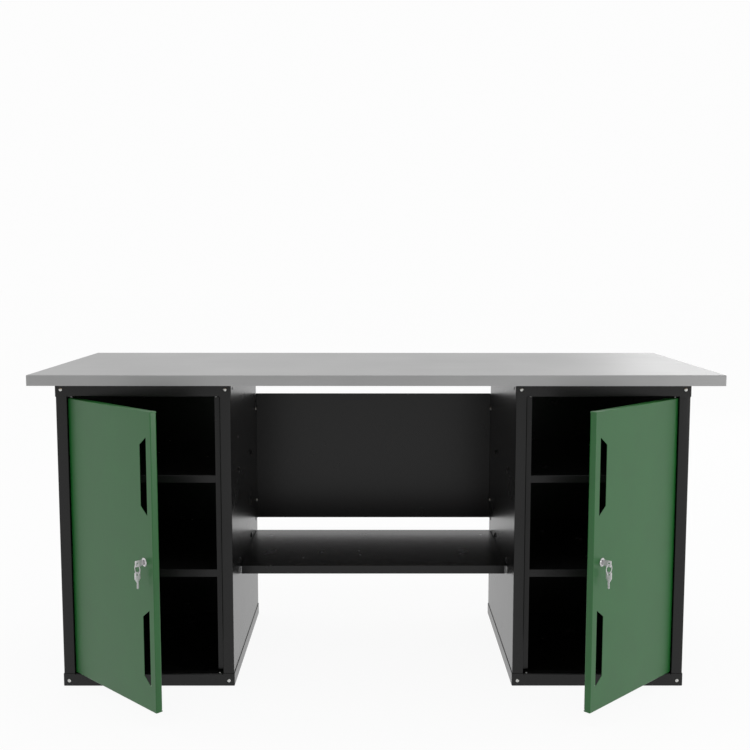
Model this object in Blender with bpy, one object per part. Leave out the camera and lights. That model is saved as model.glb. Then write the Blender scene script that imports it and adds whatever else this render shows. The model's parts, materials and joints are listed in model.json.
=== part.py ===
"""Double pedestal workbench: two folded steel cabinets with hung doors under a clad worktop.

Metres, +Z up, front towards -Y. The bench stands on the floor at z = 0 and its worktop is centred
on x = 0. Each cabinet has its own frame: x runs inward from the outer face, y back from the front
face and z up from the floor. The right cabinet is the left one mirrored. The doors stand half open,
and every moving piece has its origin on its own axis.
"""
import math

import bmesh
import bpy
from mathutils import Matrix, Vector

# Bench
BENCH_HEIGHT = 0.850
TOP_WIDTH = 1.800
TOP_DEPTH = 0.700
TOP_THICKNESS = 0.028
TOP_FRONT_OVERHANG = 0.054
TOP_SIDE_OVERHANG = 0.0646
CABINETS_OFF_CENTRE = -0.008

# Sheet metal
SHEET = 0.0012
INNER_BEND = 0.0012
BEND_STEPS = 2
FIT = 0.0003
NOTCH_WIDTH = 0.002

# Cabinet shell
CABINET_WIDTH = 0.4616
CABINET_DEPTH = 0.596
PAN_HEIGHT = 0.0345
PAN_LIP = 0.024
POST_WIDTH = 0.0309
STOP_SETBACK = 0.022
STOP_WIDTH = 0.0155
STOP_NOTCH_BELOW = 0.0056
STOP_NOTCH_ABOVE = 0.002
REAR_FOLD = 0.020
BACK_SHEET = 0.001

# Shelves
SHELF_FRONT = 0.027
SHELF_HEIGHT = 0.0205
LOWER_SHELF_TOP = 0.3152
UPPER_SHELF_TOP = 0.5732
MIDDLE_SHELF_TOP = 0.2873
MIDDLE_SHELF_HEIGHT = 0.0244
MIDDLE_SHELF_FRONT = 0.1619
MIDDLE_SHELF_DEPTH = 0.4008
MIDDLE_SHELF_RELIEF = 0.0025

# Back panel across the knee space
PANEL_BOTTOM = 0.3205
PANEL_TOP = 0.7243
PANEL_FLANGE = 0.040
PANEL_SCREW_HEIGHTS = (0.384, 0.678)
PANEL_SCREW_INSET = 0.026

# Door
DOOR_WIDTH = 0.3828
DOOR_THICKNESS = 0.018
DOOR_SHEET = 0.001
DOOR_RETURN = 0.012
DOOR_BOTTOM_GAP = 0.0020
DOOR_TOP_GAP = 0.0041
DOOR_OPEN_ANGLE = math.radians(44.5)
HINGE_FROM_OUTER_FACE = 0.041
HINGE_FROM_FRONT = 0.0087
HINGE_INSET = 0.0068
SLOT_WIDTH = 0.0287
SLOT_LONG_SIDE = 0.1935
SLOT_SHORT_SIDE = 0.151
SLOT_FROM_FREE_EDGE = 0.0204
SLOT_FROM_MIDDLE = 0.2138

# Pivot pins and their bushes
PIN_RADIUS = 0.0022
PIN_HEAD_RADIUS = 0.004
PIN_HEAD = 0.0015
PIN_TIP_CHAMFER = 0.0006
PIN_INTO_DOOR = 0.0045
BUSH_WALL = 0.0005
BUSH_CLEARANCE = 0.00025
BUSH_FLANGE_RADIUS = 0.0042
BUSH_SLEEVE = 0.0055

# Cam lock, measured from the door's face into the door
LOCK_FROM_FREE_EDGE = 0.0387
LOCK_HEIGHT = 0.410
ROSETTE_RADIUS = 0.011
ROSETTE_HEIGHT = 0.0026
ROSETTE_CROWN = 0.0016
BARREL_RADIUS = 0.009
NUT_ACROSS = 0.024
NUT_HEIGHT = 0.004
PLUG_RADIUS = 0.006
PLUG_PROUD = 0.0003
KEYWAY_PLAY = 0.001
BOSS_RADIUS = 0.0042
BOSS_FLATS = 0.0064
CAM_FRONT = 0.0220
CAM_THICKNESS = 0.0025
CAM_REACH = 0.046
CAM_ROOT_RADIUS = 0.008
CAM_TIP_RADIUS = 0.006
CAM_SCREW_RADIUS = 0.0018
CAM_SCREW_HEAD = 0.0045
CAM_SCREW_HEAD_HEIGHT = 0.0022
CAM_SCREW_LENGTH = 0.0046

# Keys and their ring
KEY_THICKNESS = 0.0018
KEY_BOW_WIDTH = 0.016
KEY_BOW_LENGTH = 0.017
KEY_BOW_CORNER = 0.002
KEY_SHOULDER_WIDTH = 0.0102
KEY_SHOULDER_LENGTH = 0.0055
KEY_SHOULDER_TAPER = 0.0015
KEY_HOLE_RADIUS = 0.0028
KEY_HOLE_FROM_END = 0.006
KEY_BLADE_WIDTH = 0.0056
KEY_BLADE_LENGTH = 0.0205
KEY_BIT_DEPTH = 0.0012
KEY_BIT_COUNT = 4
RING_RADIUS = 0.0117
RING_WIRE = 0.001
RING_PLAY = 0.00045

# Screw holes and bolts
SCREW_RADIUS = 0.002
HOLE_REACH = 0.008
FRAME_SCREW_INSET = 0.0155
CAP_SCREW_FROM_FRONT = 0.030
BOLT_RADIUS = 0.003
BOLT_HEAD_RADIUS = 0.008
BOLT_HEAD = 0.004
BOLT_LENGTH = 0.012
BOLT_NUT_ACROSS = 0.010
BOLT_NUT_HEIGHT = 0.005
SHELF_BOLTS_FROM_FRONT = (0.146, 0.424)
SHELF_BOLT_DROP = 0.0085
MIDDLE_BOLTS_FROM_SHELF_END = 0.060
MIDDLE_BOLT_DROP = 0.0125
TOP_SCREW_LENGTH = 0.016
TOP_SCREW_INSET = 0.070
HOLE_STEPS = 8
ROUND_STEPS = 10
FINE_STEPS = 16
RING_STEPS = 24
WIRE_STEPS = 6

# Places that follow from the sizes above
ORIGIN = (0.0, 0.0, 0.0)
CAP_TOP = BENCH_HEIGHT - TOP_THICKNESS - FIT
CAP_BOTTOM = CAP_TOP - PAN_HEIGHT
WALL_INSET = SHEET + FIT
WALL_FOOT = SHEET + INNER_BEND + FIT
WALL_INNER_FACE = WALL_INSET + SHEET
BACK_WALL_REAR = CABINET_DEPTH - WALL_INNER_FACE - FIT
SHELF_BACK = BACK_WALL_REAR - BACK_SHEET - FIT
DOOR_BOTTOM = PAN_HEIGHT + DOOR_BOTTOM_GAP
DOOR_HEIGHT = CAP_BOTTOM - DOOR_TOP_GAP - DOOR_BOTTOM
DOOR_BEND = DOOR_SHEET + INNER_BEND
BUSH_FLANGE = DOOR_BOTTOM_GAP - 2 * FIT
BUSH_BORE = PIN_RADIUS + BUSH_CLEARANCE
BUSH_RADIUS = BUSH_BORE + BUSH_WALL
LOCK_FROM_PIVOT = DOOR_WIDTH - HINGE_INSET - LOCK_FROM_FREE_EDGE
PLUG_FRONT = -ROSETTE_HEIGHT - PLUG_PROUD
KEY_SHOULDER_FROM_HOLE = KEY_BOW_LENGTH - KEY_HOLE_FROM_END + KEY_SHOULDER_LENGTH
KEY_HOLE_FROM_DOOR = KEY_SHOULDER_FROM_HOLE + FIT - PLUG_FRONT
KEYWAY_DEPTH = KEY_BLADE_LENGTH - FIT + PLUG_FRONT + KEYWAY_PLAY
RING_DROP = KEY_HOLE_RADIUS - RING_WIRE - RING_PLAY
INTO_DOOR = (-math.pi / 2, 0.0, 0.0)

# The open doors reach furthest forward, and the bench is centred between that and the worktop's back
DOOR_REACH = ((DOOR_WIDTH - HINGE_INSET - DOOR_BEND) * math.sin(DOOR_OPEN_ANGLE)
              + (HINGE_INSET - DOOR_BEND) * math.cos(DOOR_OPEN_ANGLE) + DOOR_BEND - HINGE_FROM_FRONT)
CABINET_FRONT = (DOOR_REACH - (TOP_DEPTH - TOP_FRONT_OVERHANG)) / 2
KNEE_WIDTH = TOP_WIDTH - 2 * (TOP_SIDE_OVERHANG + CABINET_WIDTH)
HALF_SPAN = KNEE_WIDTH / 2 + CABINET_WIDTH


def clear_scene():
    """Remove every object of the scene."""
    for obj in list(bpy.data.objects):
        bpy.data.objects.remove(obj, do_unlink=True)


def paint(name, colour, roughness, metallic):
    """Principled material of one colour."""
    look = bpy.data.materials.new(name)
    look.use_nodes = True
    shader = look.node_tree.nodes["Principled BSDF"]
    shader.inputs["Base Color"].default_value = (*colour, 1.0)
    shader.inputs["Roughness"].default_value = roughness
    shader.inputs["Metallic"].default_value = metallic
    return look


# Shapes

def block(low, high):
    """Box between two corners."""
    shape = bmesh.new()
    size = Vector(high) - Vector(low)
    middle = (Vector(high) + Vector(low)) / 2
    bmesh.ops.create_cube(shape, size=1.0, matrix=Matrix.LocRotScale(middle, None, size))
    return shape


def turned(profile, steps=ROUND_STEPS, closed=False):
    """Solid of revolution about +Z from (radius, height) points."""
    shape = bmesh.new()
    points = [shape.verts.new((radius, 0.0, height)) for radius, height in profile]
    edges = [shape.edges.new(pair) for pair in zip(points, points[1:])]
    if closed:
        edges.append(shape.edges.new((points[-1], points[0])))
    bmesh.ops.spin(shape, geom=points + edges, cent=ORIGIN, axis=(0.0, 0.0, 1.0),
                   angle=2 * math.pi, steps=steps, use_merge=True)
    bmesh.ops.remove_doubles(shape, verts=shape.verts, dist=1e-6)
    bmesh.ops.recalc_face_normals(shape, faces=shape.faces)
    return shape


def extruded(outline, low, high):
    """Prism over a flat outline of (x, y) points, between two heights."""
    shape = bmesh.new()
    base = shape.faces.new([shape.verts.new((x, y, low)) for x, y in outline])
    raised = bmesh.ops.extrude_face_region(shape, geom=[base])
    lifted = [item for item in raised["geom"] if isinstance(item, bmesh.types.BMVert)]
    bmesh.ops.translate(shape, verts=lifted, vec=(0.0, 0.0, high - low))
    bmesh.ops.recalc_face_normals(shape, faces=shape.faces)
    return shape


def cylinder(radius, low, high, steps=ROUND_STEPS):
    """Upright cylinder between two heights."""
    return turned([(0.0, high), (radius, high), (radius, low), (0.0, low)], steps)


def hexagon(across):
    """Outline of a hexagon, by its size across flats."""
    corner = across / math.sqrt(3)
    angles = [math.radians(60 * index) for index in range(6)]
    return [(corner * math.cos(angle), corner * math.sin(angle)) for angle in angles]


def gathered(shapes):
    """One shape that holds several, each given with the matrix that places it."""
    whole = bmesh.new()
    for shape, matrix in shapes:
        mesh = bpy.data.meshes.new("gathered")
        shape.to_mesh(mesh)
        shape.free()
        mesh.transform(matrix)
        whole.from_mesh(mesh)
        bpy.data.meshes.remove(mesh)
    return whole


def aimed(place, direction):
    """Matrix that stands a shape's +Z along a direction at a place."""
    turn = Vector(direction).to_track_quat("Z", "Y").to_matrix().to_4x4()
    return Matrix.Translation(place) @ turn


def repeated(make_shape, spots):
    """The same shape at every (place, direction) spot."""
    return gathered([(make_shape(), aimed(place, direction)) for place, direction in spots])


def drilled(spots, radius, depth, steps=HOLE_STEPS):
    """Cutters for round holes that reach the same depth both ways from each spot."""
    return repeated(lambda: cylinder(radius, -depth, depth, steps), spots)


def upside_down(shape):
    """The shape mirrored below z = 0."""
    bmesh.ops.scale(shape, vec=(1.0, 1.0, -1.0), verts=shape.verts)
    bmesh.ops.reverse_faces(shape, faces=shape.faces)
    return shape


def folded_strip(path, low, high):
    """Outer surface of an upright sheet folded along a plan path."""
    shape = bmesh.new()
    feet = [shape.verts.new((x, y, low)) for x, y in path]
    heads = [shape.verts.new((x, y, high)) for x, y in path]
    for index in range(len(path) - 1):
        shape.faces.new((feet[index], feet[index + 1], heads[index + 1], heads[index]))
    return shape


def pan(width, depth, height, lips=None, notch_depth=0.0):
    """Outer surface of a pan: a floor, four flanges turned up and lips turned in from them.

    lips gives, for side 0 front, 1 right, 2 back or 3 left, how far the lip stays from the flange's
    two ends and how far it reaches in. A notch at each end of a lip lets the sheet fold.
    """
    shape = bmesh.new()
    corners = [Vector((0, 0, 0)), Vector((width, 0, 0)), Vector((width, depth, 0)), Vector((0, depth, 0))]
    up = Vector((0, 0, height))
    feet = [shape.verts.new(corner) for corner in corners]
    heads = [shape.verts.new(corner + up) for corner in corners]
    shape.faces.new(list(reversed(feet)))
    for side in range(4):
        following = (side + 1) % 4
        along = (corners[following] - corners[side]).normalized()
        inward = Vector((-along.y, along.x, 0.0))
        rim = [feet[side], feet[following], heads[following]]
        if lips and side in lips:
            margin, reach = lips[side]
            drop = Vector((0, 0, notch_depth))
            ends = (corners[following] - along * margin + up, corners[side] + along * margin + up)
            steps = (along * NOTCH_WIDTH, -along * NOTCH_WIDTH)
            fold = [shape.verts.new(end) for end in ends]
            outer = [[shape.verts.new(end + step), shape.verts.new(end + step - drop),
                      shape.verts.new(end - drop)] for end, step in zip(ends, steps)]
            rim += outer[0] + [fold[0], fold[1]] + list(reversed(outer[1]))
            edge = [shape.verts.new(end + inward * reach) for end in ends]
            shape.faces.new((fold[1], fold[0], edge[0], edge[1]))
        rim.append(heads[side])
        shape.faces.new(rim)
    return shape


# Objects

class Side:
    """One side of the bench, which names its pieces and mirrors them when it is the right one."""

    def __init__(self, name, mirror):
        self.prefix = name + "_" if name else ""
        self.mirror = mirror

    def stand(self, obj, parent, place, turn):
        """Put an object under its parent, mirrored with its side."""
        bpy.context.scene.collection.objects.link(obj)
        obj.parent = parent
        obj.location = (place[0] * self.mirror, place[1], place[2])
        obj.rotation_euler = (turn[0], turn[1] * self.mirror, turn[2] * self.mirror)
        return obj

    def axis(self, name, parent=None, place=ORIGIN, turn=ORIGIN):
        """Empty that carries pieces, on the axis that they turn about."""
        return self.stand(bpy.data.objects.new(self.prefix + name, None), parent, place, turn)

    def solid(self, name, shape, parent, place, turn):
        """Object from a shape, which it uses up."""
        mesh = bpy.data.meshes.new(self.prefix + name)
        shape.to_mesh(mesh)
        shape.free()
        if self.mirror < 0:
            mesh.transform(Matrix.Scale(-1, 4, (1, 0, 0)))
            mesh.flip_normals()
        return self.stand(bpy.data.objects.new(mesh.name, mesh), parent, place, turn)

    def piece(self, name, shape, look, parent=None, place=ORIGIN, turn=ORIGIN,
              sheet=None, rounding=None, joined=None, cuts=None):
        """One sub-part: a solid, or a surface that sheet makes into folded metal.

        joined and cuts are shapes that are added to it and cut from it.
        """
        obj = self.solid(name, shape, parent, place, turn)
        obj.data.materials.append(look)
        if sheet:
            round_edges(obj, sheet + INNER_BEND, BEND_STEPS)
            wall = obj.modifiers.new("sheet", "SOLIDIFY")
            wall.thickness = sheet
            wall.offset = -1.0
            wall.use_even_offset = True
        if rounding:
            round_edges(obj, rounding, 1)
        for suffix, operation, tool in (("_joined", "UNION", joined), ("_cuts", "DIFFERENCE", cuts)):
            if tool:
                helper = self.solid(name + suffix, tool, parent, place, turn)
                helper.hide_render = True
                helper.display_type = "WIRE"
                step = obj.modifiers.new(suffix.strip("_"), "BOOLEAN")
                step.operation = operation
                step.solver = "EXACT"
                step.object = helper
        return obj


def round_edges(obj, width, steps):
    """Round every square edge of an object."""
    rounding = obj.modifiers.new("rounding", "BEVEL")
    rounding.width = width
    rounding.segments = steps
    rounding.limit_method = "ANGLE"
    rounding.angle_limit = math.radians(60)


def smooth(obj):
    """Shade a round piece smooth, with its edges kept sharp."""
    obj.data.shade_smooth()
    obj.data.set_sharp_from_angle(angle=math.radians(40))
    return obj


# Fasteners

def domed(head_radius, head, radius, length):
    """Screw or bolt with a low dome head, seated at z = 0 with its shank below."""
    return turned([(0.0, head), (0.6 * head_radius, 0.85 * head), (head_radius, 0.3 * head),
                   (head_radius, 0.0), (radius, 0.0), (radius, -length), (0.0, -length)])


def sunk(spots, depth):
    """The same spots, moved back along their directions."""
    return [(Vector(place) - Vector(direction) * depth, direction) for place, direction in spots]


# Where the holes and fasteners of a cabinet are, as (place, direction) spots in its frame

def both_sides(from_outer_face):
    """A distance from the outer face, and the same from the inner face."""
    return (from_outer_face, CABINET_WIDTH - from_outer_face)


def frame_screw_spots():
    """Front corners of the tray and the cap."""
    heights = (FRAME_SCREW_INSET, CAP_TOP - FRAME_SCREW_INSET)
    return [((x, -FIT, z), (0, -1, 0)) for x in both_sides(FRAME_SCREW_INSET) for z in heights]


def side_spots(x_outer, rows, heights):
    """Spots on the outer and the inner side face, looking outwards."""
    spots = []
    for y in rows:
        for z in heights:
            spots.append(((x_outer - FIT, y, z), (-1, 0, 0)))
            spots.append(((CABINET_WIDTH - x_outer + FIT, y, z), (1, 0, 0)))
    return spots


def cap_screw_spots():
    """Side flanges of the cap, near the front and the back."""
    rows = (CAP_SCREW_FROM_FRONT, CABINET_DEPTH - CAP_SCREW_FROM_FRONT)
    return side_spots(0.0, rows, (CAP_TOP - FRAME_SCREW_INSET,))


def shelf_bolt_spots():
    """Side walls, at the flanges of both shelves."""
    heights = (LOWER_SHELF_TOP - SHELF_BOLT_DROP, UPPER_SHELF_TOP - SHELF_BOLT_DROP)
    return side_spots(WALL_INSET, SHELF_BOLTS_FROM_FRONT, heights)


def middle_shelf_bolt_spots():
    """Inner wall, at the end flange of the middle shelf, seen from the knee space."""
    rows = (MIDDLE_SHELF_FRONT + MIDDLE_BOLTS_FROM_SHELF_END,
            MIDDLE_SHELF_FRONT + MIDDLE_SHELF_DEPTH - MIDDLE_BOLTS_FROM_SHELF_END)
    x = CABINET_WIDTH - WALL_INSET + FIT + SHEET + FIT
    return [((x, y, MIDDLE_SHELF_TOP - MIDDLE_BOLT_DROP), (1, 0, 0)) for y in rows]


def panel_screw_spots():
    """Inner wall, at the side flange of the back panel."""
    x = CABINET_WIDTH - WALL_INSET + FIT + SHEET + FIT
    y = CABINET_DEPTH - WALL_INSET - PANEL_SCREW_INSET
    return [((x, y, z), (1, 0, 0)) for z in PANEL_SCREW_HEIGHTS]


def top_screw_spots():
    """Underside of the cap, at the four corners."""
    rows = (TOP_SCREW_INSET, CABINET_DEPTH - TOP_SCREW_INSET)
    z = CAP_TOP - SHEET - FIT
    return [((x, y, z), (0, 0, -1)) for x in both_sides(TOP_SCREW_INSET) for y in rows]


def pin_spots(from_outer_face):
    """Lips of the tray and the cap, looking into the door opening."""
    return [((from_outer_face, HINGE_FROM_FRONT, PAN_HEIGHT), (0, 0, 1)),
            ((from_outer_face, HINGE_FROM_FRONT, CAP_BOTTOM), (0, 0, -1))]


# Cabinet

def pan_surface():
    """Surface that the tray and the cap share, with the lip that carries the pivot pins."""
    margin = POST_WIDTH + FIT + NOTCH_WIDTH
    return pan(CABINET_WIDTH, CABINET_DEPTH, PAN_HEIGHT, {0: (margin, PAN_LIP)}, WALL_FOOT)


def wall_path():
    """Plan of the outer side wall: rear fold, wall, post, post return and door stop."""
    rear = CABINET_DEPTH - WALL_INSET
    stop_end = POST_WIDTH + STOP_WIDTH
    return [(REAR_FOLD, rear), (WALL_INSET, rear), (WALL_INSET, WALL_INSET), (POST_WIDTH, WALL_INSET),
            (POST_WIDTH, STOP_SETBACK), (stop_end, STOP_SETBACK)]


def stop_notches(x_low, x_high):
    """Cutters that end the door stop clear of the tray's and the cap's lips."""
    near = STOP_SETBACK - INNER_BEND - 2 * SHEET
    far = STOP_SETBACK + 2 * SHEET
    cuts = []
    for low, high in ((0.0, PAN_HEIGHT + STOP_NOTCH_BELOW), (CAP_BOTTOM - STOP_NOTCH_ABOVE, CAP_TOP)):
        cuts.append((block((x_low, near, low), (x_high, far, high)), Matrix()))
    return cuts


def wall_cuts(outer):
    """Notches and screw holes of one side wall."""
    wanted = -1 if outer else 1
    screws = [spot for spot in cap_screw_spots() if spot[1][0] == wanted]
    screws += [spot for spot in frame_screw_spots()
               if (spot[0][0] < CABINET_WIDTH / 2) == outer]
    bolts = [spot for spot in shelf_bolt_spots() if spot[1][0] == wanted]
    if not outer:
        screws += panel_screw_spots()
        bolts += middle_shelf_bolt_spots()
    low, high = WALL_INNER_FACE + SHEET, POST_WIDTH + STOP_WIDTH + SHEET
    if not outer:
        low, high = CABINET_WIDTH - high, CABINET_WIDTH - low
    shapes = stop_notches(low, high)
    shapes.append((drilled(screws, SCREW_RADIUS + FIT, HOLE_REACH), Matrix()))
    shapes.append((drilled(bolts, BOLT_RADIUS + FIT, HOLE_REACH, ROUND_STEPS), Matrix()))
    return gathered(shapes)


def build_cabinet(side, cabinet, looks):
    """Shell, shelves and fasteners of one cabinet."""
    black = looks["black"]
    screw_hole = SCREW_RADIUS + FIT
    pins, unused = (pin_spots(x) for x in both_sides(HINGE_FROM_OUTER_FACE))
    pivots = pins + unused

    tray_cuts = gathered([
        (drilled(frame_screw_spots(), screw_hole, HOLE_REACH), Matrix()),
        (drilled(pivots, PIN_RADIUS + FIT, HOLE_REACH, FINE_STEPS), Matrix())])
    side.piece("base_tray", pan_surface(), black, cabinet, sheet=SHEET, cuts=tray_cuts)

    cap = upside_down(pan_surface())
    bmesh.ops.translate(cap, verts=cap.verts, vec=(0, 0, CAP_TOP))
    screws = frame_screw_spots() + cap_screw_spots() + top_screw_spots()
    cap_cuts = gathered([
        (drilled(screws, screw_hole, HOLE_REACH), Matrix()),
        (drilled(pivots, PIN_RADIUS + FIT, HOLE_REACH, FINE_STEPS), Matrix())])
    side.piece("top_cap", cap, black, cabinet, sheet=SHEET, cuts=cap_cuts)

    foot, head = WALL_FOOT, CAP_TOP - WALL_FOOT
    mirrored_path = [(CABINET_WIDTH - x, y) for x, y in reversed(wall_path())]
    side.piece("outer_wall", folded_strip(wall_path(), foot, head), black, cabinet,
               sheet=SHEET, cuts=wall_cuts(True))
    side.piece("inner_wall", folded_strip(mirrored_path, foot, head), black, cabinet,
               sheet=SHEET, cuts=wall_cuts(False))

    back_inset = WALL_INSET + SHEET + INNER_BEND
    side.piece("back_wall", block((back_inset, BACK_WALL_REAR - BACK_SHEET, foot),
                                  (CABINET_WIDTH - back_inset, BACK_WALL_REAR, head)), black, cabinet)

    for name, top in (("lower_shelf", LOWER_SHELF_TOP), ("upper_shelf", UPPER_SHELF_TOP)):
        build_shelf(side, cabinet, name, top, black)

    build_shelf_bolts(side, cabinet, looks["black_zinc"])
    build_pins(side, cabinet, pins, looks["steel"])


def build_shelf(side, cabinet, name, top, look):
    """Shelf pan with its flanges turned down, bolted through the side walls."""
    gap = WALL_INNER_FACE + FIT
    width = CABINET_WIDTH - 2 * gap
    bolts = [((x, y - SHELF_FRONT, -SHELF_BOLT_DROP), (1, 0, 0))
             for x in (0.0, width) for y in SHELF_BOLTS_FROM_FRONT]
    side.piece(name, upside_down(pan(width, SHELF_BACK - SHELF_FRONT, SHELF_HEIGHT)), look, cabinet,
               place=(gap, SHELF_FRONT, top), sheet=SHEET,
               cuts=drilled(bolts, BOLT_RADIUS + FIT, HOLE_REACH, ROUND_STEPS))


def build_shelf_bolts(side, cabinet, look):
    """Dome headed bolts through the walls and the shelf flanges, each with its nut run on."""
    grip = 2 * (SHEET + FIT) + FIT
    for index, (place, direction) in enumerate(shelf_bolt_spots()):
        seat = aimed(place, direction)
        bolt = domed(BOLT_HEAD_RADIUS, BOLT_HEAD, BOLT_RADIUS, BOLT_LENGTH)
        nut = extruded(hexagon(BOLT_NUT_ACROSS), -grip - BOLT_NUT_HEIGHT, -grip)
        smooth(side.piece(f"shelf_bolt_{index + 1}", gathered([(bolt, seat)]), look, cabinet,
                          joined=gathered([(nut, seat)])))


def pivot_pin(reach):
    """Riveted pin with its seat under the lip and its chamfered end in the door."""
    tip = SHEET + FIT + reach
    return turned([(0.0, tip), (PIN_RADIUS - PIN_TIP_CHAMFER, tip), (PIN_RADIUS, tip - PIN_TIP_CHAMFER),
                   (PIN_RADIUS, 0.0), (PIN_HEAD_RADIUS, 0.0), (PIN_HEAD_RADIUS, -PIN_HEAD),
                   (0.0, -PIN_HEAD)], FINE_STEPS)


def build_pins(side, cabinet, pins, look):
    """Pivot pins of the tray and the cap, each as long as its own gap to the door needs."""
    for name, gap, seat in zip(("lower", "upper"), (DOOR_BOTTOM_GAP, DOOR_TOP_GAP),
                               sunk(pins, SHEET + FIT)):
        pin = gathered([(pivot_pin(gap + PIN_INTO_DOOR), aimed(*seat))])
        smooth(side.piece(name + "_pivot_pin", pin, look, cabinet))


# Door, in a frame with its origin at the bottom of the pivot axis, x along the door, y into it

def slot_cut(y_middle):
    """Cutter for one finger slot: a trapezoid whose long side faces the door's free edge."""
    outer = DOOR_WIDTH - SLOT_FROM_FREE_EDGE
    inner = outer - SLOT_WIDTH
    outline = [(outer, y_middle - SLOT_LONG_SIDE / 2), (outer, y_middle + SLOT_LONG_SIDE / 2),
               (inner, y_middle + SLOT_SHORT_SIDE / 2), (inner, y_middle - SLOT_SHORT_SIDE / 2)]
    return extruded(outline, -DOOR_SHEET, 2 * DOOR_SHEET)


def build_door_panel(side, door, looks):
    """Door pan with returned edges, finger slots, the lock's hole and the bushes' holes."""
    side_margin = DOOR_BEND + 2 * NOTCH_WIDTH
    end_margin = DOOR_RETURN + side_margin
    lips = {0: (end_margin, DOOR_RETURN), 1: (side_margin, DOOR_RETURN),
            2: (end_margin, DOOR_RETURN), 3: (side_margin, DOOR_RETURN)}
    surface = pan(DOOR_WIDTH, DOOR_HEIGHT, DOOR_THICKNESS, lips, DOOR_BEND + FIT)
    lock = ((DOOR_WIDTH - LOCK_FROM_FREE_EDGE, DOOR_BOTTOM + DOOR_HEIGHT - LOCK_HEIGHT, 0), (0, 0, 1))
    bushes = [((HINGE_INSET, y, HINGE_INSET), (0, 1, 0)) for y in (0.0, DOOR_HEIGHT)]
    middle = DOOR_HEIGHT / 2
    cuts = gathered([
        (slot_cut(middle - SLOT_FROM_MIDDLE), Matrix()),
        (slot_cut(middle + SLOT_FROM_MIDDLE), Matrix()),
        (drilled([lock], BARREL_RADIUS + FIT, 2 * DOOR_SHEET, FINE_STEPS), Matrix()),
        (drilled(bushes, BUSH_RADIUS + FIT, 2 * DOOR_SHEET, FINE_STEPS), Matrix())])
    side.piece("door_panel", surface, looks["green"], door,
               place=(-HINGE_INSET, -HINGE_INSET, DOOR_HEIGHT), turn=INTO_DOOR,
               sheet=DOOR_SHEET, cuts=cuts)


def bush():
    """Flanged bush with its sleeve up through the sheet and its flange below it."""
    return turned([(BUSH_BORE, BUSH_SLEEVE), (BUSH_RADIUS, BUSH_SLEEVE), (BUSH_RADIUS, -FIT),
                   (BUSH_FLANGE_RADIUS, -FIT), (BUSH_FLANGE_RADIUS, -FIT - BUSH_FLANGE),
                   (BUSH_BORE, -FIT - BUSH_FLANGE)], FINE_STEPS, closed=True)


def build_lock(side, lock, looks):
    """Cam lock: housing and nut on the door, and the plug, cam and screw that turn in it."""
    barrel_end = DOOR_THICKNESS
    bore = PLUG_RADIUS + FIT
    housing = turned([(bore, barrel_end), (BARREL_RADIUS, barrel_end), (BARREL_RADIUS, -FIT),
                      (ROSETTE_RADIUS, -FIT), (ROSETTE_RADIUS, -ROSETTE_HEIGHT + ROSETTE_CROWN),
                      (ROSETTE_RADIUS - ROSETTE_CROWN, -ROSETTE_HEIGHT), (bore, -ROSETTE_HEIGHT)],
                     FINE_STEPS, closed=True)
    smooth(side.piece("lock_housing", housing, looks["chrome"], lock, turn=INTO_DOOR))

    nut_front = DOOR_SHEET + FIT
    nut = extruded(hexagon(NUT_ACROSS), nut_front, nut_front + NUT_HEIGHT)
    side.piece("lock_nut", nut, looks["zinc"], lock, turn=INTO_DOOR,
               cuts=cylinder(BARREL_RADIUS + FIT, 0.0, barrel_end, FINE_STEPS))

    side.piece("lock_plug", plug_shape(), looks["chrome"], lock, turn=INTO_DOOR, cuts=plug_cuts())
    cam_back = CAM_FRONT + CAM_THICKNESS
    hole = flatted_circle(BOSS_RADIUS + FIT, BOSS_FLATS / 2 + FIT)
    side.piece("lock_cam", extruded(cam_outline(), CAM_FRONT, cam_back), looks["zinc"], lock,
               turn=INTO_DOOR, cuts=extruded(hole, CAM_FRONT - FIT, cam_back + FIT))
    screw = domed(CAM_SCREW_HEAD, CAM_SCREW_HEAD_HEIGHT, CAM_SCREW_RADIUS, CAM_SCREW_LENGTH)
    bmesh.ops.translate(screw, verts=screw.verts, vec=(0, 0, cam_back + FIT))
    smooth(side.piece("cam_screw", screw, looks["zinc"], lock, turn=INTO_DOOR))


def plug_shape():
    """Round plug with a thinner boss behind, where the cam sits."""
    end = CAM_FRONT + CAM_THICKNESS - FIT
    shoulder = CAM_FRONT - FIT
    return turned([(0.0, PLUG_FRONT), (PLUG_RADIUS, PLUG_FRONT), (PLUG_RADIUS, shoulder),
                   (BOSS_RADIUS, shoulder), (BOSS_RADIUS, end), (0.0, end)], FINE_STEPS)


def plug_cuts():
    """Keyway, the boss's two flats and the hole for the cam's screw."""
    keyway = Vector((KEY_THICKNESS / 2 + FIT, KEY_BLADE_WIDTH / 2 + FIT, KEYWAY_DEPTH))
    mouth = Vector((-keyway.x, -keyway.y, PLUG_FRONT - FIT))
    shoulder = CAM_FRONT - FIT
    end = CAM_FRONT + CAM_THICKNESS
    screw_tip = end + FIT - CAM_SCREW_LENGTH
    cuts = [(block(mouth, keyway), Matrix()),
            (cylinder(CAM_SCREW_RADIUS + FIT, screw_tip - FIT, end), Matrix())]
    for low, high in ((-PLUG_RADIUS, -BOSS_FLATS / 2), (BOSS_FLATS / 2, PLUG_RADIUS)):
        cuts.append((block((low, -PLUG_RADIUS, shoulder), (high, PLUG_RADIUS, end)), Matrix()))
    return gathered(cuts)


def arc(centre, radius, start, end, steps):
    """Points of an arc between two angles in degrees."""
    points = []
    for index in range(steps + 1):
        angle = math.radians(start + (end - start) * index / steps)
        points.append((centre[0] + radius * math.cos(angle), centre[1] + radius * math.sin(angle)))
    return points


def flatted_circle(radius, half_flats):
    """Outline of a circle with two flat sides."""
    corner = math.degrees(math.acos(half_flats / radius))
    return (arc((0, 0), radius, corner, 180 - corner, 4)
            + arc((0, 0), radius, 180 + corner, 360 - corner, 4))


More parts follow.
